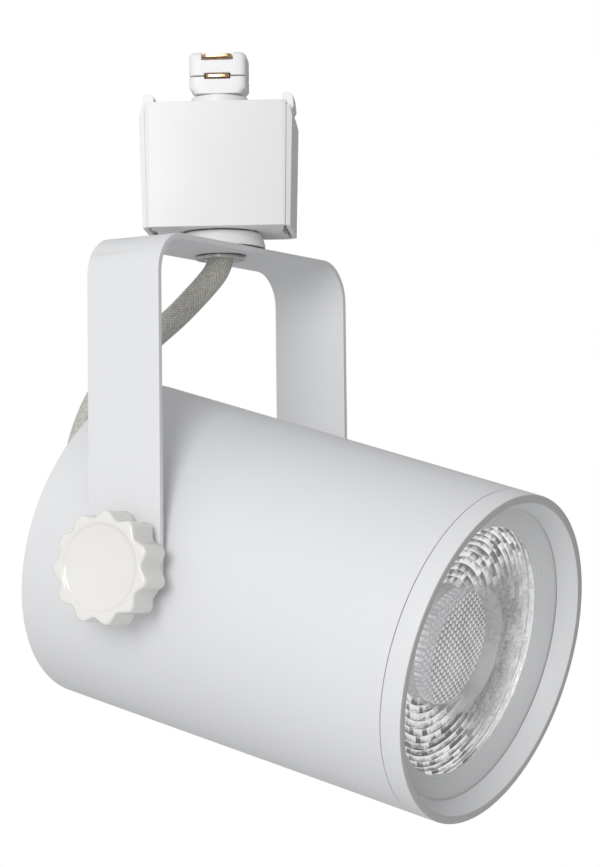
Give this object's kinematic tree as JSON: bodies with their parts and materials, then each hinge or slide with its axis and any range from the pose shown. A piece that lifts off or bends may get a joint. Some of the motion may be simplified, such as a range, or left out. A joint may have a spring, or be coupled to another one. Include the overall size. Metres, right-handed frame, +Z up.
{
  "type": "track spotlight",
  "caption": "Cylindrical LED spotlight head tilting in a bent strip yoke with star knobs, swivelling under a twist-in track adapter.",
  "frame": {"origin": "centre of the adapter housing's top face, on the swivel axis, where the adapter bears on the underside of the track", "axes": "+Z up into the track along the swivel axis, +X along the track, -Y the side with the two line contacts"},
  "size_m": [0.1286, 0.1176, 0.1798],
  "materials": {
    "adapter_plastic": "satin moulded white",
    "collar_plastic": "glossy moulded white",
    "powder_coat": "fine-texture white powder coat",
    "knob_plastic": "glossy warm white",
    "brass": "bright rolled brass",
    "steel": "zinc-plated",
    "cast_aluminium": "die-cast",
    "satin_grey": "satin grey, finely turned",
    "clear_optic": "clear moulded acrylic",
    "holder_plastic": "matt white",
    "rubber": "soft, matt",
    "sleeve": "woven glass-fibre sleeve",
    "phosphor": "yellow phosphor",
    "ceramic": "white ceramic",
    "board_green": "solder mask",
    "black_plastic": "moulded black"
  },
  "bodies": {
    "adapter": {"adapter_housing": "adapter_plastic", "adapter_top_plate": "adapter_plastic", "contact_post": "adapter_plastic", "contact_post_cap": "adapter_plastic", "upper_contact": "brass", "lower_contact": "brass", "ground_contact": "brass", "left_latch_spring": "steel", "right_latch_spring": "steel"},
    "left_latch": {"left_latch": "adapter_plastic"},
    "right_latch": {"right_latch": "adapter_plastic"},
    "yoke": {"yoke": "powder_coat", "swivel_collar": "collar_plastic", "swivel_tube": "steel", "swivel_washer": "steel", "swivel_nut": "steel", "lamp_cable": "sleeve"},
    "head": {"barrel": "powder_coat", "rear_cover": "powder_coat", "cover_screw_1": "steel", "cover_screw_2": "steel", "cover_screw_3": "steel", "cable_grommet": "rubber", "driver_board": "board_green", "driver_transformer": "black_plastic", "driver_capacitor": "black_plastic", "terminal_block": "ceramic", "heat_sink": "cast_aluminium", "led_board": "ceramic", "led_emitter": "phosphor", "led_holder": "holder_plastic", "holder_screw_1": "steel", "holder_screw_2": "steel", "optic_holder": "holder_plastic", "optic": "clear_optic", "retaining_ring": "satin_grey", "bezel": "powder_coat", "near_spacer": "powder_coat", "far_spacer": "powder_coat", "near_nut_plate": "steel", "far_nut_plate": "steel"},
    "near_washer": {"near_washer": "steel"},
    "near_knob": {"near_knob": "knob_plastic", "near_knob_stud": "steel"},
    "far_washer": {"far_washer": "steel"},
    "far_knob": {"far_knob": "knob_plastic", "far_knob_stud": "steel"}
  },
  "joints": [
    {"name": "left_latch_slide", "type": "slide", "parent": "adapter", "child": "left_latch", "axis": [0, 0, -1], "range_m": [0, 0.0033], "stiffness_N_per_m": 300, "springref_m": -0.003, "deforming": ["left_latch_spring"]},
    {"name": "right_latch_slide", "type": "slide", "parent": "adapter", "child": "right_latch", "axis": [0, 0, -1], "range_m": [0, 0.0033], "stiffness_N_per_m": 300, "springref_m": -0.003, "deforming": ["right_latch_spring"]},
    {"name": "swivel", "type": "hinge", "parent": "adapter", "child": "yoke", "pos_m": [0, 0, 0], "axis": [0, 0, 1], "range_deg": [-136.8, 193.2]},
    {"name": "tilt", "type": "hinge", "parent": "yoke", "child": "head", "pos_m": [0, 0, -0.10915], "axis": [0.4726, 0.8813, 0], "range_deg": [-36.6, 73.4], "deforming": ["lamp_cable"]},
    {"name": "near_knob_travel", "type": "slide", "parent": "head", "child": "near_washer", "axis": [-0.4726, -0.8813, 0], "range_m": [0, 0.00121]},
    {"name": "near_knob_turn", "type": "hinge", "parent": "near_washer", "child": "near_knob", "pos_m": [0, 0, -0.10915], "axis": [-0.4726, -0.8813, 0], "range_deg": [0, 540]},
    {"name": "far_knob_travel", "type": "slide", "parent": "head", "child": "far_washer", "axis": [0.4726, 0.8813, 0], "range_m": [0, 0.00121]},
    {"name": "far_knob_turn", "type": "hinge", "parent": "far_washer", "child": "far_knob", "pos_m": [0, 0, -0.10915], "axis": [0.4726, 0.8813, 0], "range_deg": [0, 540]}
  ],
  "couplings": [
    {"joint": "near_knob_travel", "follows": "near_knob_turn", "m_per_rad": 0.00012732},
    {"joint": "far_knob_travel", "follows": "far_knob_turn", "m_per_rad": 0.00012732}
  ]
}
